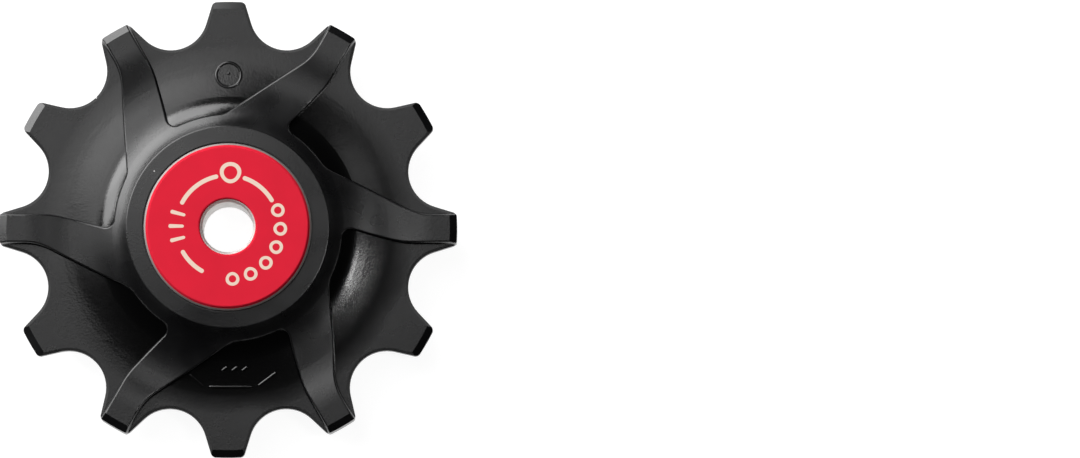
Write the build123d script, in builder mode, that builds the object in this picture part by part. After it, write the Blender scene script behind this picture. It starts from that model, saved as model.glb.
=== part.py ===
from build123d import *
from math import atan2, cos, pi, radians, sin, tan
import os

# Derailleur jockey wheel. Millimetres, wheel axis on Z, marked face up, origin at the middle.

# Teeth, set by the chain
tooth_count = 12
chain_pitch = 12.7
roller_seat_radius = 4.05
flank_angle = 32.0
tip_height = 0.465
tip_corner_radius = 0.6
thin_tooth_width = 1.7
thick_tooth_width = 3.7
tip_bevel_length = 0.8
tip_bevel_drop = 0.45
rim_bevel = 0.3

# Ribs, one on every second tooth
rib_top_width = 3.0
rib_draft = 10.0
rib_edge_radius = 0.2
swept_angle = 27.0
swept_bend_inset = 4.2
swept_bend_radius = 6.0
steep_angle = 13.5
steep_bend_inset = 5.7
steep_bend_radius = 10.0
rib_dip = 0.38
rib_dip_inset = 3.0
pad_length = 2.8

# Pockets between the ribs
hub_wall_step = 1.8
steep_corner_radius = 0.6
swept_corner_radius = 2.5
foot_drop = 0.2
foot_reach = 2.1
wall_overlap = 0.05
dish_rise = 0.33
rim_land = 2.2

# Boss round the hub
boss_rim = 1.7
recess_depth = 0.4
boss_edge_radius = 0.25
flare_reach = 1.6
flare_drop = 0.98

# Sealed ball bearing
bearing_bore = 8.0
bearing_outer_diameter = 16.0
bearing_width = 5.0
race_chamfer = 0.2
ball_count = 9
ball_diameter = 2.0
ball_clearance = 0.015
groove_conformity = 1.04
shoulder_height = 0.43
cage_clearance = 0.15
cage_pocket_clearance = 0.06
cage_prong_depth = 0.55
seal_thickness = 0.35
seal_recess = 0.15
seal_grip = 0.5
seal_lip_clearance = 0.05
retaining_lip_thickness = 0.45
retaining_lip_height = 0.6

# Bush and caps, clamped by the bolt
bush_bore = 5.5
bush_chamfer = 0.2
cap_overhang = 1.15
cap_radial_clearance = 0.2
cap_axial_clearance = 0.25
cap_thickness = 0.8
cap_lip_thickness = 0.5
cap_hole_margin = 0.3
cap_spigot_wall = 0.9
cap_edge_radius = 0.2
cap_edge_bevel = 0.3

# Radii that follow from the chain
tooth_step = 360 / tooth_count
rib_count = tooth_count // 2
rib_step = 360 / rib_count
pitch_radius = chain_pitch / 2 / sin(pi / tooth_count)
tip_radius = pitch_radius + tip_height
root_radius = pitch_radius - roller_seat_radius
thin_half = thin_tooth_width / 2
thick_half = thick_tooth_width / 2
outside = tip_radius + 5

# Radii and heights that follow from the bearing
bearing_radius = bearing_outer_diameter / 2
bearing_half = bearing_width / 2
bush_radius = bearing_bore / 2
recess_floor = bearing_half + retaining_lip_thickness
boss_half = recess_floor + recess_depth
cap_under = recess_floor + cap_axial_clearance
cap_face = cap_under + cap_thickness
cap_radius = bearing_radius + cap_overhang
recess_radius = cap_radius + cap_radial_clearance
boss_radius = recess_radius + boss_rim
hub_wall_radius = boss_radius + hub_wall_step
bush_half = cap_face - cap_lip_thickness
cap_hole_radius = bush_bore / 2 + cap_hole_margin
above = cap_face + 1

# Ball bearing section
ball_radius = ball_diameter / 2
ball_circle = (bush_radius + bearing_radius) / 2
groove_radius = ball_radius * groove_conformity
inner_groove_bottom = ball_circle - ball_radius - ball_clearance
outer_groove_bottom = ball_circle + ball_radius + ball_clearance
inner_shoulder = inner_groove_bottom + shoulder_height
outer_shoulder = outer_groove_bottom - shoulder_height
seal_top = bearing_half - seal_recess
seal_bottom = seal_top - seal_thickness
seal_seat_radius = outer_shoulder + seal_grip
seal_lip_radius = inner_shoulder + seal_lip_clearance
cage_inner = inner_shoulder + cage_clearance
cage_outer = outer_shoulder - cage_clearance
cage_top = (ball_radius + seal_bottom) / 2

os.makedirs("parts", exist_ok=True)


# Plan of the toothed rim: roller seats centred on the pitch circle, flanks tangent to them
flank_turn = 90 - flank_angle
flank_start = Vector(
    -roller_seat_radius * cos(radians(flank_turn)),
    roller_seat_radius * sin(radians(flank_turn)),
)
flank_run = outside - pitch_radius - flank_start.X
flank_end = flank_start + Vector(flank_run, flank_run * tan(radians(flank_angle)))

with BuildSketch() as tooth_gap:
    with BuildLine():
        CenterArc((0, 0), roller_seat_radius, 180 - flank_turn, 2 * flank_turn)
        Line(flank_start, flank_end)
        Line(flank_end, (flank_end.X, -flank_end.Y))
        Line((flank_end.X, -flank_end.Y), (flank_start.X, -flank_start.Y))
    make_face()

with BuildSketch(Plane.XY.rotated((0, 0, tooth_step / 2))) as tooth_plan:
    Circle(tip_radius)
    with PolarLocations(pitch_radius, tooth_count):
        add(tooth_gap.sketch, mode=Mode.SUBTRACT)
    tip_corners = tooth_plan.vertices().filter_by(lambda v: Vector(v).length > tip_radius - 0.01)
    fillet(tip_corners, radius=tip_corner_radius)

# Plan of one pocket at mid width, from the steep side of a rib to the swept side of the next
draft_slope = tan(radians(rib_draft))
rib_root_half = rib_top_width / 2 + thick_half * draft_slope
steep_bend = Vector(tip_radius - steep_bend_inset, -rib_root_half)
swept_bend = Vector(tip_radius - swept_bend_inset, rib_root_half).rotate(Axis.Z, -rib_step)
steep_out = Vector(outside, -rib_root_half)
swept_out = Vector(outside, rib_root_half).rotate(Axis.Z, -rib_step)
steep_in = steep_bend + Vector(-outside, 0).rotate(Axis.Z, -steep_angle)
swept_in = swept_bend + Vector(-outside, 0).rotate(Axis.Z, -swept_angle - rib_step)

with BuildSketch() as pocket_plan:
    with BuildLine():
        steep_side = Line(steep_bend, steep_in, mode=Mode.PRIVATE)
        swept_side = Line(swept_bend, swept_in, mode=Mode.PRIVATE)
        apex = steep_side.intersect(swept_side).vertices()[0]
        Polyline(steep_out, steep_bend, apex, swept_bend, swept_out, close=True)
    make_face()
    Circle(hub_wall_radius, mode=Mode.SUBTRACT)
    hub_corners = pocket_plan.vertices().filter_by(
        lambda v: abs(Vector(v).length - hub_wall_radius) < 0.01
    )
    swept_corner, steep_corner = [Vector(v) for v in hub_corners.sort_by(Axis.Y)]
    for corner, corner_radius in (
        (steep_bend, steep_bend_radius),
        (swept_bend, swept_bend_radius),
        (steep_corner, steep_corner_radius),
        (swept_corner, swept_corner_radius),
    ):
        fillet(pocket_plan.vertices().sort_by_distance(corner)[0], radius=corner_radius)

# Section planes, which keep the seams of turned faces in the middle of a gap, a pocket or a rib
gap_section = Plane.XZ.rotated((0, 0, tooth_step / 2))
pocket_section = Plane.XZ.rotated((0, 0, -rib_step / 4))
rib_section = Plane.XZ.rotated((0, 0, 2 * rib_step + swept_angle / 2))

# Pocket on both faces: a foot that falls from the hub wall and turns into a shallow dish
flare_radius = boss_radius + flare_reach
flare_height = boss_half - flare_drop
foot_height = flare_height - foot_drop
foot_radius = hub_wall_radius - foot_height * draft_slope - wall_overlap
dish_start = foot_radius + foot_reach
dish_height = thin_half + dish_rise
dish_end = root_radius - rim_land
dish_turn = 2 * atan2(dish_rise, dish_end - dish_start)

with BuildPart() as pocket:
    extrude(pocket_plan.sketch, amount=above, taper=-rib_draft)
    with BuildSketch(pocket_section):
        with BuildLine():
            TangentArc((dish_end, thin_half), (dish_start, dish_height), tangent=(-1, 0))
            TangentArc(
                (dish_start, dish_height),
                (foot_radius, foot_height),
                tangent=(-cos(dish_turn), sin(dish_turn)),
            )
            Polyline(
                (dish_end, thin_half),
                (dish_end, 0),
                (outside, 0),
                (outside, above),
                (boss_radius, above),
                (boss_radius, foot_height),
                (foot_radius, foot_height),
            )
        make_face()
    revolve(axis=Axis.Z, mode=Mode.INTERSECT)
    mirror(about=Plane.XY)

# Thin toothed rim with bevelled edges
with BuildPart() as thin_rim:
    extrude(tooth_plan.sketch, amount=thin_half, both=True)
    chamfer(thin_rim.faces().filter_by(Axis.Z).edges(), length=rim_bevel)
    with BuildSketch(gap_section):
        with BuildLine():
            thin_edge = Polyline(
                (dish_end, 0),
                (dish_end, thin_half),
                (tip_radius - tip_bevel_length, thin_half),
                (tip_radius, thin_half - tip_bevel_drop),
                (tip_radius, 0),
            )
            mirror(thin_edge, about=Plane.XZ)
        make_face()
    revolve(axis=Axis.Z, mode=Mode.INTERSECT)

# Plan of one sector, parted along the middle of two ribs
rib_line = [
    Vector(0, 0),
    Vector(hub_wall_radius, 0).rotate(Axis.Z, swept_angle / 2),
    Vector(tip_radius - steep_bend_inset, 0),
    Vector(2 * outside, 0),
]
next_rib_line = [point.rotate(Axis.Z, -rib_step) for point in rib_line[:0:-1]]

with BuildSketch() as sector_plan:
    with BuildLine():
        Polyline(*rib_line, *next_rib_line, close=True)
    make_face()

# One sector of the ribs, turned, pocketed and rounded along its edges
dip_radius = root_radius - rib_dip_inset
dip_height = thick_half - rib_dip
pad_radius = tip_radius - pad_length
rise_middle = ((dip_radius + pad_radius) / 2, (dip_height + thick_half) / 2)
flare_turn = 2 * atan2(flare_height - dip_height, dip_radius - flare_radius)
bore_radius = bearing_radius - retaining_lip_height


def along_rib_top(edge):
    """Tells whether an edge lies between a pocket wall and the top of a rib or of the boss."""
    middle = edge.position_at(0.5)
    on_top = any(face.distance_to(middle) < 0.001 for face in blank_faces)
    level = abs(edge.tangent_at(0.5).Z) < sin(pi / 6)
    return on_top and level


with BuildPart() as rib_sector:
    with BuildSketch(rib_section) as rib_profile:
        with BuildLine():
            Polyline((bore_radius, 0), (bore_radius, boss_half), (boss_radius, boss_half))
            TangentArc((dip_radius, dip_height), (flare_radius, flare_height), tangent=(-1, 0))
            TangentArc(
                (flare_radius, flare_height),
                (boss_radius, boss_half),
                tangent=(-cos(flare_turn), sin(flare_turn)),
            )
            TangentArc((dip_radius, dip_height), rise_middle, tangent=(1, 0))
            TangentArc((pad_radius, thick_half), rise_middle, tangent=(-1, 0))
            Polyline(
                (pad_radius, thick_half),
                (tip_radius - tip_bevel_length, thick_half),
                (tip_radius, thick_half - tip_bevel_drop),
                (tip_radius, 0),
                (bore_radius, 0),
            )
        make_face()
        boss_corner = rib_profile.vertices().sort_by_distance((boss_radius, boss_half))[0]
        fillet(boss_corner, radius=boss_edge_radius)
    revolve(axis=Axis.Z)
    mirror(about=Plane.XY)
    extrude(sector_plan.sketch, amount=above, both=True, mode=Mode.INTERSECT)
    blank_faces = rib_sector.faces()
    add(pocket.part, mode=Mode.SUBTRACT)
    fillet(rib_sector.edges(Select.NEW).filter_by(along_rib_top), radius=rib_edge_radius)

# Toothed wheel: a ring of sectors trimmed to the teeth, the thin rim, seats for caps and bearing
with BuildPart() as toothed_wheel:
    with PolarLocations(0, rib_count):
        add(rib_sector.part)
    extrude(tooth_plan.sketch, amount=above, both=True, mode=Mode.INTERSECT)
    add(thin_rim.part)
    with BuildSketch(Plane.XY.offset(recess_floor)):
        Circle(recess_radius)
    extrude(amount=above, mode=Mode.SUBTRACT)
    with BuildSketch(Plane.XY.offset(-recess_floor)):
        Circle(recess_radius)
    extrude(amount=-above, mode=Mode.SUBTRACT)
    with BuildSketch(Plane.XY.offset(bearing_half)):
        Circle(bearing_radius)
    extrude(amount=-above - bearing_half, mode=Mode.SUBTRACT)
toothed_wheel.part.label = "toothed_wheel"
export_step(toothed_wheel.part, "parts/toothed_wheel.step")

# Bearing rings with round grooves and stepped seal seats
with BuildPart() as outer_race:
    with BuildSketch(Plane.XZ):
        with Locations(((outer_shoulder + bearing_radius) / 2, 0)):
            Rectangle(bearing_radius - outer_shoulder, bearing_width)
        with Locations((outer_groove_bottom - groove_radius, 0)):
            Circle(groove_radius, mode=Mode.SUBTRACT)
        for side in (1, -1):
            with Locations((0, side * (seal_bottom + bearing_half))):
                Rectangle(2 * seal_seat_radius, 2 * bearing_half, mode=Mode.SUBTRACT)
    revolve(axis=Axis.Z)
    rim_edges = outer_race.edges().filter_by(
        lambda e: e.geom_type == GeomType.CIRCLE and e.radius > bearing_radius - 0.01
    )
    chamfer(rim_edges, length=race_chamfer)
outer_race.part.label = "bearing_outer_race"
export_step(outer_race.part, "parts/bearing_outer_race.step")

with BuildPart() as inner_race:
    with BuildSketch(Plane.XZ):
        with Locations(((bush_radius + inner_shoulder) / 2, 0)):
            Rectangle(inner_shoulder - bush_radius, bearing_width)
        with Locations((inner_groove_bottom + groove_radius, 0)):
            Circle(groove_radius, mode=Mode.SUBTRACT)
    revolve(axis=Axis.Z)
    bore_edges = inner_race.edges().filter_by(
        lambda e: e.geom_type == GeomType.CIRCLE and e.radius < bush_radius + 0.01
    )
    chamfer(bore_edges, length=race_chamfer)
inner_race.part.label = "bearing_inner_race"
export_step(inner_race.part, "parts/bearing_inner_race.step")

# Crown cage, a ring with a round pocket for each ball
with BuildPart() as ball_cage:
    with BuildSketch(Plane.XZ):
        with Locations(((cage_inner + cage_outer) / 2, (cage_top - cage_prong_depth) / 2)):
            Rectangle(cage_outer - cage_inner, cage_top + cage_prong_depth)
    revolve(axis=Axis.Z)
    with PolarLocations(ball_circle, ball_count):
        Sphere(ball_radius + cage_pocket_clearance, mode=Mode.SUBTRACT)
ball_cage.part.label = "ball_cage"
export_step(ball_cage.part, "parts/ball_cage.step")

# Balls
for number in range(ball_count):
    turn = radians(number * 360 / ball_count)
    with BuildPart(Plane(origin=(ball_circle * cos(turn), ball_circle * sin(turn), 0))) as ball:
        Sphere(ball_radius)
    ball.part.label = f"ball_{number + 1}"
    export_step(ball.part, f"parts/ball_{number + 1}.step")

# Seals, held in the outer race and just clear of the inner race
for name, side in (("front_seal", 1), ("rear_seal", -1)):
    with BuildPart() as seal:
        with BuildSketch(Plane.XY.offset(side * seal_bottom)):
            Circle(seal_seat_radius)
            Circle(seal_lip_radius, mode=Mode.SUBTRACT)
        extrude(amount=side * seal_thickness)
    seal.part.label = name
    export_step(seal.part, f"parts/{name}.step")

# Bush through the inner race, between the caps
with BuildPart() as axle_bush:
    with BuildSketch():
        Circle(bush_radius)
        Circle(bush_bore / 2, mode=Mode.SUBTRACT)
    extrude(amount=bush_half, both=True)
    mouth_edges = axle_bush.edges().filter_by(
        lambda e: e.geom_type == GeomType.CIRCLE and e.radius < bush_radius - 0.01
    )
    chamfer(mouth_edges, length=bush_chamfer)
axle_bush.part.label = "axle_bush"
export_step(axle_bush.part, "parts/axle_bush.step")

# Caps: a disc with a rounded face edge and a turned bevel, on a spigot that clamps the inner race
spigot_radius = bush_radius + cap_spigot_wall
bevel_top = cap_face - cap_edge_radius
face_radius = cap_radius - cap_edge_bevel

for name, side in (("front_cap", 1), ("rear_cap", -1)):
    with BuildPart() as cap:
        with BuildSketch(Plane.XZ):
            with BuildLine():
                Polyline(
                    (bush_radius, bush_half * side),
                    (bush_radius, bearing_half * side),
                    (spigot_radius, bearing_half * side),
                    (spigot_radius, cap_under * side),
                    (cap_radius, cap_under * side),
                    (cap_radius, (bevel_top - cap_edge_bevel) * side),
                    (face_radius, bevel_top * side),
                )
                RadiusArc(
                    (face_radius, bevel_top * side),
                    (face_radius - cap_edge_radius, cap_face * side),
                    -cap_edge_radius * side,
                )
                Line(
                    (face_radius - cap_edge_radius, cap_face * side),
                    (cap_hole_radius + cap_edge_radius, cap_face * side),
                )
                RadiusArc(
                    (cap_hole_radius + cap_edge_radius, cap_face * side),
                    (cap_hole_radius, bevel_top * side),
                    -cap_edge_radius * side,
                )
                Polyline(
                    (cap_hole_radius, bevel_top * side),
                    (cap_hole_radius, bush_half * side),
                    (bush_radius, bush_half * side),
                )
            make_face()
        revolve(axis=Axis.Z)
    cap.part.label = name
    export_step(cap.part, f"parts/{name}.step")
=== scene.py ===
import logging
import math
from dataclasses import dataclass, field
from enum import Enum
from typing import Callable, Union

import bpy
import numpy as np
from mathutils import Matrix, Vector


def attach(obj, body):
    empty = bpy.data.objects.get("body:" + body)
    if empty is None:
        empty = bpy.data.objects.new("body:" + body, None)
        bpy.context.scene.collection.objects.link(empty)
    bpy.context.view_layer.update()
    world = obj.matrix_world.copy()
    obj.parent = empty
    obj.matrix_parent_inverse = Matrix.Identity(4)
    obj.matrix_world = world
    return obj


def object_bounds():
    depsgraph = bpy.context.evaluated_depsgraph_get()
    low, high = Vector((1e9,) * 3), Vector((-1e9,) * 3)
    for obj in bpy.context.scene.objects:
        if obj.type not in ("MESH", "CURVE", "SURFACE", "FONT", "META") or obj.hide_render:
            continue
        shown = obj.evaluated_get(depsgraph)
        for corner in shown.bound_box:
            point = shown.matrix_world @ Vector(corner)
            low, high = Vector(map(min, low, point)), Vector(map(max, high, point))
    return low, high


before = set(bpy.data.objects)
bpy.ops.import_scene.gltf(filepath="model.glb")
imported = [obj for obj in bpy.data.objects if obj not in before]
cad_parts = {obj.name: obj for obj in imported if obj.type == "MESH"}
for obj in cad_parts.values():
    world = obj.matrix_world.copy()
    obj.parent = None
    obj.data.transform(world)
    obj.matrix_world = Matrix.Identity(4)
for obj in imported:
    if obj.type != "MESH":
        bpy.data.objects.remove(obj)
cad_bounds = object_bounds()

log = logging.getLogger("jockey_wheel")

MM = 0.001
PHOTO_WIDTH_PX = 1080
PHOTO_HEIGHT_PX = 458
WHEEL_CENTRE_PX = (228.5, 229.7)
WHEEL_SPAN_PX = 457.4
MASK_EDGE = 0.02 * MM
STROKE_TURNS = 16
LEAST_SWELL = 0.0001

Socket = bpy.types.NodeSocket
Sockets = dict[str, Socket]
Tree = bpy.types.NodeTree
Span = tuple[float, float]
Colour = tuple[float, float, float]
Wire = Union[float, int, Colour, Socket]
Surface = tuple[np.ndarray, np.ndarray]

# The span in which nearly all of a noise texture's values lie
NOISE_SPAN: Span = (0.3, 0.7)


def srgb(red: int, green: int, blue: int) -> Colour:
    """Turns a colour as screens write it into the linear values that shaders take.

    Args:
        red, green, blue: channel values from 0 to 255.

    Returns:
        The linear colour.
    """
    levels = np.array((red, green, blue)) / 255
    low = levels / 12.92
    high = ((levels + 0.055) / 1.055) ** 2.4
    return tuple(float(v) for v in np.where(levels <= 0.04045, low, high))


def outward(azimuth: float, elevation: float) -> Vector:
    """Gives the unit vector (cos a cos e, sin a cos e, sin e).

    Args:
        azimuth, elevation: in degrees.

    Returns:
        The vector.
    """
    turn, lift = math.radians(azimuth), math.radians(elevation)
    level = math.cos(lift)
    return Vector((math.cos(turn) * level, math.sin(turn) * level, math.sin(lift)))


class Bench:
    """Places shader nodes in one tree and joins them."""

    def __init__(self, tree: Tree) -> None:
        """Starts on a tree, which may already hold nodes."""
        self.tree = tree

    def node(self, kind: str, **settings: object) -> bpy.types.Node:
        """Adds a node.

        Args:
            kind: Blender's type name, without the ShaderNode prefix.
            settings: properties to set on it.

        Returns:
            The new node.
        """
        made = self.tree.nodes.new(f"ShaderNode{kind}")
        for name, value in settings.items():
            setattr(made, name, value)
        return made

    def feed(self, target: Socket, value: Wire) -> None:
        """Joins a socket to a wire, or sets its constant.

        Args:
            target: the socket that takes the value.
            value: a wire, a number or a linear colour.
        """
        if isinstance(value, Socket):
            self.tree.links.new(value, target)
        elif isinstance(value, tuple) and target.type == "RGBA":
            target.default_value = (*value, 1.0)
        else:
            target.default_value = value

    def math(self, operation: str, first: Wire, second: Wire = 0.0, third: Wire = 0.0) -> Socket:
        """Adds a Math node.

        Args:
            operation: Blender's name of the operation.
            first, second, third: wires or constants, as many as the operation takes.

        Returns:
            The result's socket.
        """
        made = self.node("Math", operation=operation)
        for socket, value in zip(made.inputs, (first, second, third)):
            self.feed(socket, value)
        return made.outputs[0]

    def ramp(self, value: Wire, low: Wire, high: Wire, to_low: Wire = 0.0, to_high: Wire = 1.0,
             smooth: bool = False) -> Socket:
        """Maps a value from one span to another, held at the ends.

        Args:
            value: what to map.
            low, high: the span it comes from.
            to_low, to_high: the span it goes to.
            smooth: eases in and out.

        Returns:
            The mapped value's socket.
        """
        easing = "SMOOTHSTEP" if smooth else "LINEAR"
        made = self.node("MapRange", clamp=True, interpolation_type=easing)
        names = ("Value", "From Min", "From Max", "To Min", "To Max")
        for name, wire in zip(names, (value, low, high, to_low, to_high)):
            self.feed(made.inputs[name], wire)
        return made.outputs["Result"]

    def blend(self, share: Wire, first: Wire, second: Wire) -> Socket:
        """Mixes two colours.

        Args:
            share: how much of the second shows.
            first, second: wires or linear colours.

        Returns:
            The mixed colour's socket.
        """
        made = self.node("Mix", data_type="RGBA")
        colours = {socket.name: socket for socket in made.inputs if socket.type == "RGBA"}
        self.feed(made.inputs["Factor"], share)
        self.feed(colours["A"], first)
        self.feed(colours["B"], second)
        return next(socket for socket in made.outputs if socket.type == "RGBA")

    def place(self) -> Socket:
        """Gives the place on the object, in Object coordinates."""
        return self.node("TexCoord").outputs["Object"]

    def axes(self) -> tuple[Socket, ...]:
        """Gives X, Y and Z of the place on the object.

        Returns:
            The three sockets.
        """
        split = self.node("SeparateXYZ")
        self.feed(split.inputs[0], self.place())
        return tuple(split.outputs)

    def polar(self) -> tuple[Socket, Socket]:
        """Gives the distance from the wheel's axis and the angle round it.

        Returns:
            The radius in metres and the angle in radians.
        """
        x, y, _ = self.axes()
        return self.length(x, y), self.math("ARCTAN2", y, x)

    def length(self, first: Wire, second: Wire) -> Socket:
        """Gives the length of a vector with two parts, the root of the sum of their squares."""
        squares = self.math("MULTIPLY_ADD", first, first, self.math("MULTIPLY", second, second))
        return self.math("SQRT", squares)

    def noise(self, scale: Wire, octaves: float) -> Socket:
        """Adds fractal noise.

        Args:
            scale: waves per metre.
            octaves: how many finer layers it has.

        Returns:
            The noise value's socket, about 0 to 1.
        """
        made = self.node("TexNoise")
        self.feed(made.inputs["Vector"], self.place())
        self.feed(made.inputs["Scale"], scale)
        self.feed(made.inputs["Detail"], octaves)
        return made.outputs["Fac"]

    def effect(self, group: Tree, **values: Wire) -> bpy.types.Node:
        """Places a shared effect.

        Args:
            group: the effect's node group.
            values: its inputs, with underscores for the spaces in their names.

        Returns:
            The group node.
        """
        made = self.node("Group", node_tree=group)
        for name, value in values.items():
            self.feed(made.inputs[name.replace("_", " ")], value)
        return made


class Effects:
    """Surface effects that several finishes share, each a node group built once."""

    grain_octaves = 3.0
    mottle_octaves = 4.0
    lathe_ring_share = 0.3
    lathe_noise_scale = 0.37
    zone_edge = 0.04 * MM

    def __init__(self) -> None:
        """Builds the groups."""
        self.grain = self._grain()
        self.specks = self._specks()
        self.turning = self._turning()
        self.band = self._band()
        self.mark = self._mark()
        self.zone = self._zone()

    @staticmethod
    def _group(name: str, inputs: dict[str, float],
               *outputs: str) -> tuple[Bench, Sockets, Sockets]:
        """Starts a group.

        Args:
            name: the group's name.
            inputs: names and default values of its inputs.
            outputs: names of its outputs.

        Returns:
            The bench, the wires that come in and the sockets that go out.
        """
        tree = bpy.data.node_groups.new(name, "ShaderNodeTree")
        kind = "NodeSocketFloat"
        for label, value in inputs.items():
            socket = tree.interface.new_socket(label, in_out="INPUT", socket_type=kind)
            socket.default_value = value
        for label in outputs:
            tree.interface.new_socket(label, in_out="OUTPUT", socket_type=kind)
        source = tree.nodes.new("NodeGroupInput").outputs
        drain = tree.nodes.new("NodeGroupOutput").inputs
        given = {label: source[label] for label in inputs}
        return Bench(tree), given, {label: drain[label] for label in outputs}

    def _grain(self) -> Tree:
        """Fine grain of a moulded or blasted skin, and a slow mottling under it.

        Returns:
            The group.
        """
        inputs = {"Grain Scale": 5000, "Mottle Scale": 180}
        bench, given, out = self._group("skin_grain", inputs, "Height", "Mottle")
        bench.feed(out["Height"], bench.noise(given["Grain Scale"], self.grain_octaves))
        bench.feed(out["Mottle"], bench.noise(given["Mottle Scale"], self.mottle_octaves))
        return bench.tree

    def _specks(self) -> Tree:
        """Dust: one round speck in a small share of the cells of a Voronoi pattern.

        Returns:
            The group.
        """
        inputs = {"Cell Scale": 600, "Size": 0.03, "Share": 0.05}
        bench, given, out = self._group("dust_specks", inputs, "Mask")
        cells = bench.node("TexVoronoi")
        bench.feed(cells.inputs["Vector"], bench.place())
        bench.feed(cells.inputs["Scale"], given["Cell Scale"])
        pick = bench.node("SeparateColor")
        bench.feed(pick.inputs[0], cells.outputs["Color"])
        chosen = bench.math("LESS_THAN", pick.outputs["Red"], given["Share"])
        size = bench.math("MULTIPLY", given["Size"], pick.outputs["Green"])
        inside = bench.math("LESS_THAN", cells.outputs["Distance"], size)
        bench.feed(out["Mask"], bench.math("MULTIPLY", chosen, inside))
        return bench.tree

    def _turning(self) -> Tree:
        """Lathe marks: fine rings about the axis, their depth varied by noise along the radius.

        Returns:
            The group.
        """
        bench, given, out = self._group("turning_marks", {"Pitch": 0.08 * MM}, "Height")
        radius, _ = bench.polar()
        count = bench.math("DIVIDE", radius, given["Pitch"])
        rings = bench.math("SINE", bench.math("MULTIPLY", count, 2 * math.pi))
        feed_marks = bench.node("TexNoise", noise_dimensions="1D")
        bench.feed(feed_marks.inputs["W"], count)
        bench.feed(feed_marks.inputs["Scale"], self.lathe_noise_scale)
        uneven = feed_marks.outputs["Fac"]
        bench.feed(out["Height"], bench.math("MULTIPLY_ADD", rings, self.lathe_ring_share, uneven))
        return bench.tree

    def _band(self) -> Tree:
        """A ring about the axis, one inside its two radii and nought outside.

        Returns:
            The group.
        """
        inputs = {"Inner": 1.0 * MM, "Outer": 2.0 * MM, "Soft": MASK_EDGE}
        bench, given, out = self._group("ring_band", inputs, "Mask")
        radius, _ = bench.polar()
        steps = []
        for name in ("Inner", "Outer"):
            low = bench.math("SUBTRACT", given[name], given["Soft"])
            steps.append(bench.ramp(radius, low, bench.math("ADD", given[name], given["Soft"])))
        bench.feed(out["Mask"], bench.math("SUBTRACT", *steps))
        return bench.tree

    def _mark(self) -> Tree:
        """One etched mark in polar strip coordinates: a bar with round ends, or its outline.

        With s along the circle and t across it, both from the mark's middle, the distance to the
        bar's core is the length of (max(|s| - Along, 0), max(|t| - Across, 0)), and the mark lies
        where that distance is within half a Stroke of Ring.

        Returns:
            The group.
        """
        inputs = {
            "Circle": 5.6 * MM, "Angle": 0.0, "Along": 0.0, "Across": 0.0, "Ring": 0.0,
            "Stroke": 0.4 * MM,
        }
        bench, given, out = self._group("etched_mark", inputs, "Mask")
        radius, angle = bench.polar()
        turn = bench.math("SUBTRACT", angle, given["Angle"])
        turn = bench.math("WRAP", turn, math.pi, -math.pi)
        along = bench.math("ABSOLUTE", bench.math("MULTIPLY", turn, given["Circle"]))
        across = bench.math("ABSOLUTE", bench.math("SUBTRACT", radius, given["Circle"]))
        past = bench.math("MAXIMUM", bench.math("SUBTRACT", along, given["Along"]), 0.0)
        beside = bench.math("MAXIMUM", bench.math("SUBTRACT", across, given["Across"]), 0.0)
        reach = bench.length(past, beside)
        off = bench.math("ABSOLUTE", bench.math("SUBTRACT", reach, given["Ring"]))
        half = bench.math("MULTIPLY", given["Stroke"], 0.5)
        outer = bench.math("ADD", half, MASK_EDGE)
        bench.feed(out["Mask"], bench.ramp(off, outer, bench.math("SUBTRACT", half, MASK_EDGE)))
        return bench.tree

    def _zone(self) -> Tree:
        """The pocket floors on both faces: one below a line under the rib tops, nought above it.

        The line falls with the radius from High at Start to Low at Level and stays there. Out over
        the thin rim the mask fades, from Fade on. Floor is the same without the fading.

        Returns:
            The group.
        """
        inputs = {
            "Start": 12.4 * MM, "Level": 15.0 * MM, "High": 2.28 * MM, "Low": 1.36 * MM,
            "Fade": 18.0 * MM, "Fade End": 20.2 * MM,
        }
        bench, given, out = self._group("pocket_zone", inputs, "Mask", "Floor")
        radius, _ = bench.polar()
        height = bench.math("ABSOLUTE", bench.axes()[2])
        line = bench.ramp(radius, given["Start"], given["Level"], given["High"], given["Low"])
        above = bench.math("SUBTRACT", height, line)
        within = bench.ramp(above, self.zone_edge, -self.zone_edge)
        fade = bench.ramp(radius, given["Fade"], given["Fade End"], 1.0, 0.0)
        bench.feed(out["Mask"], bench.math("MULTIPLY", within, fade))
        bench.feed(out["Floor"], within)
        return bench.tree


@dataclass(frozen=True)
class Finish:
    """What every finish has: a name, a colour and how it reflects."""

    name: str
    slot: str
    colour: Colour
    roughness: float
    metallic: float = 0.0

    def start(self) -> tuple[bpy.types.Material, Bench, bpy.types.Node]:
        """Starts the material.

        Returns:
            The material, a bench on its tree and its Principled BSDF.
        """
        material = bpy.data.materials.new(self.name)
        material.use_nodes = True
        bench = Bench(material.node_tree)
        shader = material.node_tree.nodes["Principled BSDF"]
        bench.feed(shader.inputs["Base Color"], self.colour)
        shader.inputs["Roughness"].default_value = self.roughness
        shader.inputs["Metallic"].default_value = self.metallic
        material.diffuse_color = (*self.colour, 1.0)
        return material, bench, shader

    def bump(self, bench: Bench, shader: bpy.types.Node, height: Wire, depth: float) -> None:
        """Lets a height move the normal.

        Args:
            bench: the material's bench.
            shader: its Principled BSDF.
            height: the height's wire, about 0 to 1.
            depth: how deep one unit of it is, in metres.
        """
        made = bench.node("Bump")
        made.inputs["Strength"].default_value = 1.0
        made.inputs["Distance"].default_value = depth
        bench.feed(made.inputs["Height"], height)
        bench.feed(shader.inputs["Normal"], made.outputs["Normal"])

    def material(self, effects: Effects) -> bpy.types.Material:
        """Makes the material.

        Args:
            effects: the shared node groups.

        Returns:
            The finished material.
        """
        raise NotImplementedError


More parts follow.
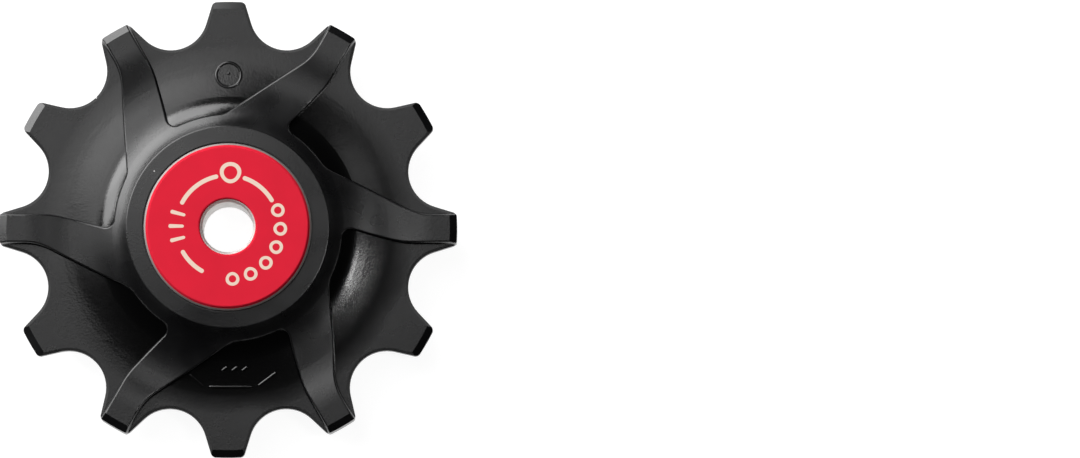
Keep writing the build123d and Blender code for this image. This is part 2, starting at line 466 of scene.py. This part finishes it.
@dataclass(frozen=True)
class Moulding(Finish):
    """Moulded plastic: fine grain, slow mottling, a few specks of dust."""

    grain_scale: float = 5200.0
    grain_depth: float = 0.009 * MM
    mottle_scale: float = 190.0
    mottle_span: Span = (0.35, 0.68)
    mottled: Colour = (0.03, 0.03, 0.031)
    roughness_spread: float = 0.12
    dust: Colour = (0.5, 0.5, 0.49)
    dust_share: float = 0.09
    dust_cells: float = 620.0
    dust_size: float = 0.075

    def material(self, effects: Effects) -> bpy.types.Material:
        """Makes the material: colour and roughness follow the mottling, dust lies on top.

        Args:
            effects: the shared node groups.

        Returns:
            The finished material.
        """
        material, bench, shader = self.start()
        skin = bench.effect(
            effects.grain, Grain_Scale=self.grain_scale, Mottle_Scale=self.mottle_scale
        )
        dust = bench.effect(
            effects.specks, Cell_Scale=self.dust_cells, Size=self.dust_size, Share=self.dust_share
        )
        mottle = bench.ramp(skin.outputs["Mottle"], *self.mottle_span)
        skin_colour = bench.blend(mottle, self.colour, self.mottled)
        colour = bench.blend(dust.outputs["Mask"], skin_colour, self.dust)
        bench.feed(shader.inputs["Base Color"], colour)
        half = self.roughness_spread / 2
        spread = (self.roughness - half, self.roughness + half)
        rough = bench.ramp(skin.outputs["Mottle"], *NOISE_SPAN, *spread)
        bench.feed(shader.inputs["Roughness"], rough)
        self.bump(bench, shader, skin.outputs["Height"], self.grain_depth)
        return material


@dataclass(frozen=True)
class RibbedMoulding(Moulding):
    """Moulded plastic from a tool with satin ribs and polished pocket floors; the floors' darker
    colour is partly the polished finish and partly painted shade in the recesses.
    """

    # Colour of the pocket floors: darker partly for the polish, partly as painted shade in the
    # pockets.
    polished_and_shaded: Colour = (0.0012, 0.0012, 0.0013)
    polished_roughness: float = 0.16
    wave_scale: float = 210.0
    wave_depth: float = 0.03 * MM
    crown_inner: float = 9.35 * MM
    crown_outer: float = 11.0 * MM
    crown_drop: float = 0.1 * MM
    dish_inner: float = 15.5 * MM
    dish_outer: float = 20.2 * MM
    dish_drop: float = 0.16 * MM
    shine: float = 0.62

    def material(self, effects: Effects) -> bpy.types.Material:
        """Makes the material: the moulded skin, and the polished one on the pocket floors, whose
        darker colour is partly painted shade.

        Args:
            effects: the shared node groups.

        Returns:
            The finished material.
        """
        material = super().material(effects)
        bench = Bench(material.node_tree)
        shader = material.node_tree.nodes["Principled BSDF"]
        colour, roughness = shader.inputs["Base Color"], shader.inputs["Roughness"]
        pockets = bench.effect(effects.zone)
        zone = pockets.outputs["Mask"]
        satin_colour = colour.links[0].from_socket
        satin_roughness = roughness.links[0].from_socket
        # The pocket floors get a darker colour: partly their polished finish, partly painted shade
        # in the recesses.
        bench.feed(colour, bench.blend(zone, satin_colour, self.polished_and_shaded))
        rough = bench.ramp(zone, 0.0, 1.0, satin_roughness, self.polished_roughness)
        bench.feed(roughness, rough)
        shader.inputs["Specular IOR Level"].default_value = self.shine
        waves = bench.effect(effects.grain, Mottle_Scale=self.wave_scale).outputs["Mottle"]
        wavy = bench.math("MULTIPLY", bench.math("MULTIPLY", waves, zone), self.wave_depth)
        height = bench.math("ADD", wavy, self._fall(bench, pockets.outputs["Floor"]))
        form = bench.node("Bump")
        form.inputs["Distance"].default_value = 1.0
        bench.feed(form.inputs["Height"], height)
        grain = shader.inputs["Normal"].links[0].from_node
        bench.feed(grain.inputs["Normal"], form.outputs["Normal"])
        return material

    def _fall(self, bench: Bench, floor: Wire) -> Socket:
        """Gives the slight fall of the boss face and of the pocket floors towards their rims.

        Args:
            bench: the material's bench.
            floor: mask of the pocket floors.

        Returns:
            The height's socket, in metres.
        """
        radius, _ = bench.polar()
        crown = bench.ramp(radius, self.crown_inner, self.crown_outer, 0.0, -self.crown_drop)
        dish = bench.ramp(
            radius, self.dish_inner, self.dish_outer, 0.0, -self.dish_drop, smooth=True
        )
        return bench.math("MULTIPLY_ADD", dish, floor, crown)


@dataclass(frozen=True)
class Turned(Finish):
    """Turned metal: lathe marks round the axis and a little mottling in the shine."""

    pitch: float = 0.09 * MM
    depth: float = 0.004 * MM
    mottle_scale: float = 700.0
    roughness_range: Span = (0.8, 1.25)

    def material(self, effects: Effects) -> bpy.types.Material:
        """Makes the material: lathe marks bend the normal, mottling moves the roughness.

        Args:
            effects: the shared node groups.

        Returns:
            The finished material.
        """
        material, bench, shader = self.start()
        marks = bench.effect(effects.turning, Pitch=self.pitch)
        skin = bench.effect(effects.grain, Mottle_Scale=self.mottle_scale)
        spread = (self.roughness * share for share in self.roughness_range)
        rough = bench.ramp(skin.outputs["Mottle"], *NOISE_SPAN, *spread)
        bench.feed(shader.inputs["Roughness"], rough)
        self.bump(bench, shader, marks.outputs["Height"], self.depth)
        return material


class MarkShape(Enum):
    """Plain shapes that the cap's etching is made of."""

    DASH = "dash"
    RING = "ring"
    TICK = "tick"


@dataclass(frozen=True)
class Mark:
    """One etched mark on the cap, in degrees round the axis and metres."""

    shape: MarkShape
    angle: float
    span: float = 0.0
    size: float = 0.0
    stroke: float = 0.47 * MM
    circle: float = 5.6 * MM

    def inputs(self) -> dict[str, float]:
        """Gives the values for the etched_mark group.

        Returns:
            The group's inputs by name.
        """
        half_arc = self.circle * math.radians(self.span) / 2
        return {
            "Circle": self.circle,
            "Angle": math.radians(self.angle),
            "Along": half_arc if self.shape is MarkShape.DASH else 0.0,
            "Across": self.size / 2 if self.shape is MarkShape.TICK else 0.0,
            "Ring": self.size / 2 if self.shape is MarkShape.RING else 0.0,
            "Stroke": self.stroke,
        }


@dataclass(frozen=True)
class Anodised(Finish):
    """Red anodised aluminium: blasted face, bare turned bevel, etched marks if there are any."""

    grain_scale: float = 7000.0
    grain_depth: float = 0.004 * MM
    mottle_scale: float = 260.0
    deep_share: float = 0.93
    roughness_range: Span = (0.92, 1.08)
    bare: Colour = srgb(176, 166, 164)
    bare_from: float = 8.96 * MM
    bare_metallic: float = 0.9
    etched: Colour = srgb(240, 216, 198)
    shine: float = 0.06
    marks: tuple[Mark, ...] = ()

    def material(self, effects: Effects) -> bpy.types.Material:
        """Makes the material: bare metal on the bevel, pale etched marks, fine blasted grain.

        Args:
            effects: the shared node groups.

        Returns:
            The finished material.
        """
        material, bench, shader = self.start()
        skin = bench.effect(
            effects.grain, Grain_Scale=self.grain_scale, Mottle_Scale=self.mottle_scale
        )
        band = bench.effect(effects.band, Inner=self.bare_from, Outer=self.bare_from * 2)
        bevel = band.outputs["Mask"]
        mottle = bench.ramp(skin.outputs["Mottle"], *NOISE_SPAN)
        deep = tuple(channel * self.deep_share for channel in self.colour)
        colour = bench.blend(mottle, deep, self.colour)
        for mark in self.marks:
            made = bench.effect(effects.mark, **mark.inputs())
            colour = bench.blend(made.outputs["Mask"], colour, self.etched)
        bench.feed(shader.inputs["Base Color"], bench.blend(bevel, colour, self.bare))
        metallic = bench.ramp(bevel, 0.0, 1.0, self.metallic, self.bare_metallic)
        bench.feed(shader.inputs["Metallic"], metallic)
        spread = (self.roughness * share for share in self.roughness_range)
        rough = bench.ramp(skin.outputs["Mottle"], *NOISE_SPAN, *spread)
        bench.feed(shader.inputs["Roughness"], rough)
        shader.inputs["Specular IOR Level"].default_value = self.shine
        self.bump(bench, shader, skin.outputs["Height"], self.grain_depth)
        return material


def mesh_object(name: str, surfaces: list[Surface]) -> bpy.types.Object:
    """Makes one smooth object of several quad surfaces.

    Args:
        name: the object's name.
        surfaces: pairs of vertices, n by 3, and quads, m by 4.

    Returns:
        The object, in the scene, with its place in its mesh.
    """
    starts = np.cumsum([0] + [len(points) for points, _ in surfaces[:-1]])
    points = np.concatenate([points for points, _ in surfaces])
    quads = np.concatenate([quads + start for (_, quads), start in zip(surfaces, starts)])
    mesh = bpy.data.meshes.new(name)
    mesh.from_pydata(points.tolist(), [], quads.tolist())
    mesh.polygons.foreach_set("use_smooth", np.ones(len(quads), dtype=bool))
    mesh.update()
    made = bpy.data.objects.new(name, mesh)
    bpy.context.scene.collection.objects.link(made)
    return made


def raised_stroke(path: np.ndarray, floor: Callable[[np.ndarray], np.ndarray], width: float,
                  height: float, closed: bool) -> Surface:
    """Lays a low rounded ridge along a path on the moulding's floor.

    At path parameter u and turn v the point is path(u) + side(u) * w(u) * cos(v), raised to
    floor(radius) + h(u) * sin(v). On a closed path w is half the width and h the height. On an
    open one both are scaled by the root of 1 - e * e, where e runs from 0 to 1 over the last half
    width at each end, so that the ends run to a round point, which a strip of quads shuts.

    Args:
        path: points in the wheel's plane, n by 2.
        floor: height of the surface for an array of radii.
        width: width of the ridge at its foot.
        height: how far it stands up, and as far again is sunk in.
        closed: whether the path runs round on itself.

    Returns:
        Vertices and quads of the closed ridge.
    """
    turn = np.linspace(0, 2 * np.pi, STROKE_TURNS, endpoint=False)
    if closed:
        ahead = np.roll(path, -1, axis=0) - np.roll(path, 1, axis=0)
        swell = np.ones(len(path))
    else:
        ahead = np.gradient(path, axis=0)
        steps = np.linalg.norm(np.diff(path, axis=0), axis=1)
        run = np.concatenate(([0.0], np.cumsum(steps)))
        end = np.clip(1 - np.minimum(run, run[-1] - run) / (width / 2), 0, 1)
        swell = np.sqrt(np.maximum(1 - end * end, LEAST_SWELL))
    ahead = ahead / np.linalg.norm(ahead, axis=1, keepdims=True)
    side = np.stack((ahead[:, 1], -ahead[:, 0]), axis=1)
    offset = swell[:, None] * np.cos(turn)[None, :] * width / 2
    flat = path[:, None, :] + side[:, None, :] * offset[:, :, None]
    rise = swell[:, None] * np.sin(turn)[None, :] * height
    lift = floor(np.linalg.norm(flat, axis=2)) + rise
    points = np.concatenate((flat, lift[:, :, None]), axis=2).reshape(-1, 3)
    rows = np.arange(len(path) if closed else len(path) - 1)
    first = rows[:, None] * STROKE_TURNS + np.arange(STROKE_TURNS)[None, :]
    right = rows[:, None] * STROKE_TURNS + (np.arange(STROKE_TURNS)[None, :] + 1) % STROKE_TURNS
    step = (((rows + 1) % len(path)) - rows)[:, None] * STROKE_TURNS
    quads = np.stack((first, first + step, right + step, right), axis=2).reshape(-1, 4)
    if not closed:
        rung = np.arange(STROKE_TURNS // 2 - 1)
        far = STROKE_TURNS - 1 - rung
        cap = np.stack((rung, rung + 1, far - 1, far), axis=1)
        last = (len(path) - 1) * STROKE_TURNS
        quads = np.concatenate((quads, cap, cap[:, ::-1] + last))
    return points, quads


def arc(radius: float, start: float, end: float, centre: tuple[float, float] = (0.0, 0.0),
        count: int = 96, closed: bool = False) -> np.ndarray:
    """Gives points on a circle: centre + radius * (cos a, sin a) for a from start to end.

    Args:
        radius: in metres.
        start, end: in degrees.
        centre: of the circle.
        count: how many points.
        closed: leaves out the last point, which would be the first again.

    Returns:
        The points, count by 2.
    """
    turn = np.radians(np.linspace(start, end, count, endpoint=not closed))
    return np.stack((np.cos(turn), np.sin(turn)), axis=1) * radius + np.asarray(centre)


def straight(start: tuple[float, float], end: tuple[float, float], count: int = 48) -> np.ndarray:
    """Gives points on a line: start + (end - start) * u for u from 0 to 1.

    Args:
        start, end: in metres.
        count: how many points.

    Returns:
        The points, count by 2.
    """
    share = np.linspace(0, 1, count)[:, None]
    return np.asarray(start) + (np.asarray(end) - np.asarray(start)) * share


def dress(node: str, material: bpy.types.Material) -> None:
    """Gives a CAD node its finish.

    Args:
        node: the node's name.
        material: the finish.
    """
    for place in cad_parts[node].material_slots:
        place.material = material
    log.info("%s: %s", node, material.name)


@dataclass
class ToothedMoulding:
    """The toothed wheel and the marks moulded into its pockets."""

    finish: Moulding
    body: str = "wheel"
    node: str = "toothed_wheel"
    rim_half: float = 0.85 * MM
    dish_end: float = 18.285 * MM
    dish_radius: float = 21.68 * MM
    stroke: float = 0.34 * MM
    relief: float = 0.13 * MM
    bracket_strokes: tuple[tuple[tuple[float, float], tuple[float, float]], ...] = (
        ((-4.2 * MM, -15.9 * MM), (-2.7 * MM, -17.2 * MM)),
        ((-2.1 * MM, -17.3 * MM), (2.7 * MM, -17.3 * MM)),
        ((3.3 * MM, -17.2 * MM), (5.3 * MM, -15.7 * MM)),
    )
    ring_place: tuple[float, float] = (0.0, 16.9 * MM)
    ring_radius: float = 1.35 * MM
    tick_place: tuple[float, float] = (0.4 * MM, -15.6 * MM)
    tick_length: float = 0.85 * MM
    tick_slant: float = 37.0
    tick_step: float = 1.1 * MM
    pieces: list[bpy.types.Object] = field(default_factory=list)

    def floor(self, radius: np.ndarray) -> np.ndarray:
        """Gives the height of a pocket's floor: the rim's face, and within dish_end a round dish.

        The dish rises inwards by R - root(R R - d d), where R is its radius in section and d the
        distance from dish_end.

        Args:
            radius: distances from the axis.

        Returns:
            Heights above the wheel's middle plane.
        """
        inward = np.clip(self.dish_end - radius, 0, None)
        return self.rim_half + self.dish_radius - np.sqrt(self.dish_radius ** 2 - inward ** 2)

    def build(self) -> None:
        """Makes the moulder's bracket of three strokes, a ring with a dot and three ticks."""
        bracket = [straight(start, end) for start, end in self.bracket_strokes]
        self._keep("moulder_bracket", [self._ridge(path) for path in bracket])
        ring = arc(self.ring_radius, 0, 360, self.ring_place, closed=True)
        x, y = self.ring_place
        dot = straight((x, y), (x, y + self.stroke))
        self._keep("moulder_ring", [self._ridge(ring, closed=True), self._ridge(dot)])
        slant = math.radians(self.tick_slant)
        lean = self.tick_length * np.array((math.cos(slant), math.sin(slant)))
        starts = [np.array(self.tick_place) + (n * self.tick_step, 0.0) for n in (-1, 0, 1)]
        ticks = [straight(tuple(start), tuple(start + lean)) for start in starts]
        self._keep("moulder_ticks", [self._ridge(path) for path in ticks])

    def _ridge(self, path: np.ndarray, closed: bool = False) -> Surface:
        """Raises one stroke on the pocket's floor."""
        return raised_stroke(path, self.floor, self.stroke, self.relief, closed)

    def _keep(self, name: str, surfaces: list[Surface]) -> None:
        """Makes an object of the surfaces and lets it ride on the wheel.

        Args:
            name: the piece's name.
            surfaces: its closed ridges.
        """
        made = mesh_object(name, surfaces)
        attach(made, self.body)
        self.pieces.append(made)
        log.info("%s: %d faces", name, len(made.data.polygons))

    def dress(self, effects: Effects) -> None:
        """Gives the wheel and its marks the moulded finish.

        Args:
            effects: the shared node groups.
        """
        material = self.finish.material(effects)
        dress(self.node, material)
        for piece in self.pieces:
            piece.data.materials.append(material)


@dataclass
class EndCaps:
    """The two red caps, of which the front one is etched."""

    front: Anodised
    rear: Anodised

    def dress(self, effects: Effects) -> None:
        """Gives each cap its finish."""
        dress("front_cap", self.front.material(effects))
        dress("rear_cap", self.rear.material(effects))


@dataclass
class HubBearing:
    """The bush and the sealed ball bearing round it."""

    bush: Turned
    race: Turned
    ball: Moulding
    cage: Moulding
    seal: Moulding
    ball_count: int = 9

    def dress(self, effects: Effects) -> None:
        """Gives the bush, races, balls, cage and seals their finishes.

        Args:
            effects: the shared node groups.
        """
        balls = tuple(f"ball_{number + 1}" for number in range(self.ball_count))
        finishes = (
            (self.bush, ("axle_bush",)),
            (self.race, ("bearing_outer_race", "bearing_inner_race")),
            (self.ball, balls),
            (self.cage, ("ball_cage",)),
            (self.seal, ("front_seal", "rear_seal")),
        )
        for finish, nodes in finishes:
            material = finish.material(effects)
            for node in nodes:
                dress(node, material)


@dataclass(frozen=True)
class Softbox:
    """An area lamp aimed at the wheel, its length upright."""

    name: str
    azimuth: float
    elevation: float
    width: float
    length: float
    radiance: float
    distance: float = 0.6

    def place(self) -> None:
        """Adds the lamp. Its power is radiance * pi * area."""
        lamp = bpy.data.lights.new(self.name, "AREA")
        lamp.shape = "RECTANGLE"
        lamp.size = self.width
        lamp.size_y = self.length
        lamp.energy = self.radiance * math.pi * self.width * self.length
        made = bpy.data.objects.new(self.name, lamp)
        bpy.context.scene.collection.objects.link(made)
        out = outward(self.azimuth, self.elevation)
        made.location = out * self.distance
        made.rotation_mode = "QUATERNION"
        made.rotation_quaternion = (-out).to_track_quat("-Z", "Y")
        made.visible_camera = False


@dataclass
class Studio:
    """Camera, lamps, world and a white floor."""

    lamps: tuple[Softbox, ...]
    ambient: float = 0.01
    floor_height: float = -4.0 * MM
    floor_reach: float = 6.0
    floor_glow: float = 0.93
    floor_colour: float = 0.25
    camera_distance: float = 1.3
    camera_tilt: float = 5.0
    view_depth: float = 50.0
    sensor: float = 36.0

    def build(self) -> None:
        """Sets up everything round the object."""
        bpy.context.scene.view_settings.view_transform = "Standard"
        self._world()
        self._floor()
        for lamp in self.lamps:
            lamp.place()
        self._camera()

    def _world(self) -> None:
        """Gives the world an even grey light."""
        world = bpy.data.worlds.new("room")
        world.use_nodes = True
        sky = world.node_tree.nodes["Background"]
        sky.inputs["Color"].default_value = (1.0, 1.0, 1.0, 1.0)
        sky.inputs["Strength"].default_value = self.ambient
        bpy.context.scene.world = world

    def _floor(self) -> None:
        """Lays a white floor that glows for the camera and for mirrors and keeps the shadow.

        Seen from below it is clear.
        """
        reach = self.floor_reach
        corners = np.array(((-reach, -reach), (reach, -reach), (reach, reach), (-reach, reach)))
        points = np.column_stack((corners, np.full(4, self.floor_height)))
        floor = mesh_object("floor", [(points, np.array(((0, 1, 2, 3),)))])
        material = bpy.data.materials.new("white_floor")
        material.use_nodes = True
        bench = Bench(material.node_tree)
        nodes = material.node_tree.nodes
        nodes.remove(nodes["Principled BSDF"])
        path = bench.node("LightPath").outputs
        seen = bench.math("MAXIMUM", path["Is Camera Ray"], path["Is Glossy Ray"])
        seen = bench.math("MAXIMUM", seen, path["Is Transmission Ray"])
        glow = bench.node("Emission")
        bench.feed(glow.inputs["Strength"], bench.math("MULTIPLY", seen, self.floor_glow))
        matt = bench.node("BsdfDiffuse")
        bench.feed(matt.inputs["Color"], (self.floor_colour,) * 3)
        both = bench.node("AddShader")
        bench.feed(both.inputs[0], glow.outputs[0])
        bench.feed(both.inputs[1], matt.outputs[0])
        under = bench.node("MixShader")
        bench.feed(under.inputs[0], bench.node("NewGeometry").outputs["Backfacing"])
        bench.feed(under.inputs[1], both.outputs[0])
        bench.feed(under.inputs[2], bench.node("BsdfTransparent").outputs[0])
        bench.feed(nodes["Material Output"].inputs["Surface"], under.outputs[0])
        floor.data.materials.append(material)

    def _camera(self) -> None:
        """Looks down on the middle of the picture, with the wheel where the photograph has it."""
        low, high = cad_bounds
        metres_per_pixel = (high.x - low.x) / WHEEL_SPAN_PX
        aim = Vector((
            (PHOTO_WIDTH_PX / 2 - WHEEL_CENTRE_PX[0]) * metres_per_pixel,
            (WHEEL_CENTRE_PX[1] - PHOTO_HEIGHT_PX / 2) * metres_per_pixel,
            0.0,
        ))
        lens = bpy.data.cameras.new("camera")
        lens.sensor_width = self.sensor
        lens.lens = self.sensor * self.camera_distance / (PHOTO_WIDTH_PX * metres_per_pixel)
        lens.clip_end = self.view_depth
        camera = bpy.data.objects.new("camera", lens)
        bpy.context.scene.collection.objects.link(camera)
        tilt = math.radians(self.camera_tilt)
        back = Vector((0.0, -math.sin(tilt), math.cos(tilt)))
        camera.location = aim + back * self.camera_distance
        camera.rotation_mode = "QUATERNION"
        camera.rotation_quaternion = (-back).to_track_quat("-Z", "Y")
        bpy.context.scene.camera = camera


RED = srgb(226, 36, 58)
CAP_DASHES = (
    Mark(MarkShape.DASH, 127.5, span=49.0),
    Mark(MarkShape.DASH, 50.75, span=39.5),
    Mark(MarkShape.DASH, 225.0, span=30.0),
)
CAP_TOP_RING = Mark(MarkShape.RING, 87.0, size=1.9 * MM, stroke=0.42 * MM, circle=5.9 * MM)
CAP_RINGS = tuple(
    Mark(MarkShape.RING, angle, size=1.15 * MM, stroke=0.34 * MM, circle=5.75 * MM)
    for angle in (18.0, -2.5, -23.0, -43.5, -64.0, -84.5)
)
CAP_TICKS = tuple(
    Mark(MarkShape.TICK, angle, size=1.3 * MM, stroke=0.38 * MM)
    for angle in (165.0, 179.5, 194.0)
)

BLACK_NYLON = RibbedMoulding(
    "black_nylon", "moulded_nylon", srgb(10, 10, 11), 0.27, mottled=srgb(16, 16, 17)
)
ETCHED_RED = Anodised(
    "red_anodised_etched", "red_anodised", RED, 0.6,
    marks=(*CAP_DASHES, CAP_TOP_RING, *CAP_RINGS, *CAP_TICKS),
)
PLAIN_RED = Anodised("red_anodised_plain", "red_anodised", RED, 0.6)
BRIGHT_BUSH = Turned("bright_bush", "bush_metal", srgb(226, 224, 221), 0.42, 0.6)
GROUND_STEEL = Turned("ground_steel", "bearing_steel", srgb(190, 190, 193), 0.22, 1.0)
DARK_CERAMIC = Moulding(
    "dark_ceramic", "ball_ceramic", srgb(52, 52, 55), 0.12,
    grain_depth=0.0005 * MM, dust_share=0.0,
)
NATURAL_NYLON = Moulding(
    "natural_nylon", "cage_nylon", srgb(228, 218, 196), 0.5, mottled=srgb(220, 208, 184)
)
MATT_RUBBER = Moulding(
    "matt_rubber", "seal_rubber", srgb(38, 38, 38), 0.7, mottled=srgb(46, 46, 46)
)
LAMPS = (
    Softbox("key", azimuth=134.0, elevation=31.0, width=0.80, length=0.38, radiance=6.0),
    Softbox("key_spill", azimuth=136.0, elevation=50.0, width=0.36, length=0.52, radiance=1.9),
    Softbox("overhead", azimuth=120.0, elevation=77.0, width=0.20, length=0.20, radiance=1.5),
    Softbox("corner_fill", azimuth=41.0, elevation=71.0, width=0.06, length=0.08, radiance=1.3),
    Softbox("right_strip", azimuth=351.0, elevation=67.0, width=0.042, length=0.13, radiance=20.0),
)


def main() -> None:
    """Builds the wheel's marks, dresses each part and sets up the studio."""
    logging.basicConfig(level=logging.INFO, format="%(name)s: %(message)s")
    effects = Effects()
    wheel = ToothedMoulding(BLACK_NYLON)
    wheel.build()
    wheel.dress(effects)
    EndCaps(front=ETCHED_RED, rear=PLAIN_RED).dress(effects)
    HubBearing(
        bush=BRIGHT_BUSH, race=GROUND_STEEL, ball=DARK_CERAMIC, cage=NATURAL_NYLON,
        seal=MATT_RUBBER,
    ).dress(effects)
    Studio(LAMPS).build()


if __name__ == "__main__":
    main()
